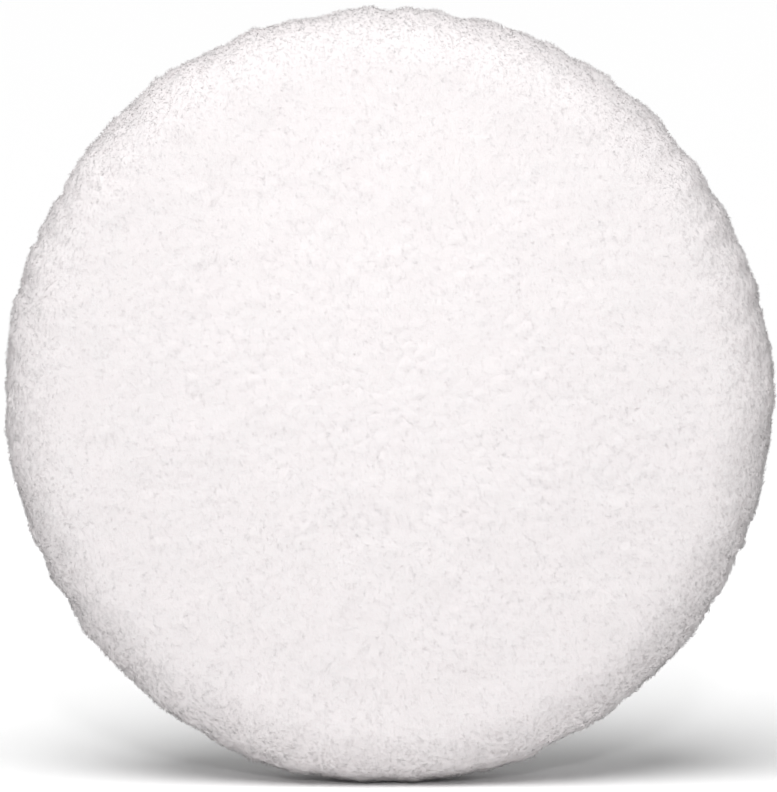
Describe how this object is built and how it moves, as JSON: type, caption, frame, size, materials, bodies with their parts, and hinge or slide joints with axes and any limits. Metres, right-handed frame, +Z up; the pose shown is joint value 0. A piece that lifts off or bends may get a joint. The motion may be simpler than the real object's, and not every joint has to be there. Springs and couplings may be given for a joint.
{
  "type": "polishing pad",
  "caption": "Round white sheared-wool polishing pad with a domed nap face, foam interface, bound edge and brushed loop back for a hook backing plate.",
  "frame": {"origin": "centre of the loop back, in the plane of the loop tips, where the backing plate's hook face lies", "axes": "+Y along the pad's axis, out of the loop back; -Y out of the wool face; +Z up, with the pad standing on its rim; +X to the right as seen from the wool face"},
  "size_m": [0.166, 0.0265, 0.166],
  "materials": {
    "wool": "sheared wool nap, soft and matte with a faint sheen",
    "ground_knit": "knitted polyester ground cloth",
    "latex": "dull set latex",
    "glue_film": "hot-melt film, slightly glossy",
    "foam": "open-cell polyurethane foam",
    "loop_knit": "knitted nylon",
    "loop_velour": "brushed nylon loops",
    "binding_tape": "woven polyester tape, twill weave",
    "thread": "twisted bonded polyester thread"
  },
  "bodies": {
    "root": {"wool_pile": "wool", "ground_cloth": "ground_knit", "latex_coat": "latex", "front_glue_film": "glue_film", "foam_interface": "foam", "rear_glue_film": "glue_film", "loop_cloth": "loop_knit", "loop_pile": "loop_velour", "edge_binding": "binding_tape", "edge_needle_thread": "thread", "edge_bobbin_thread": "thread"}
  },
  "joints": []
}
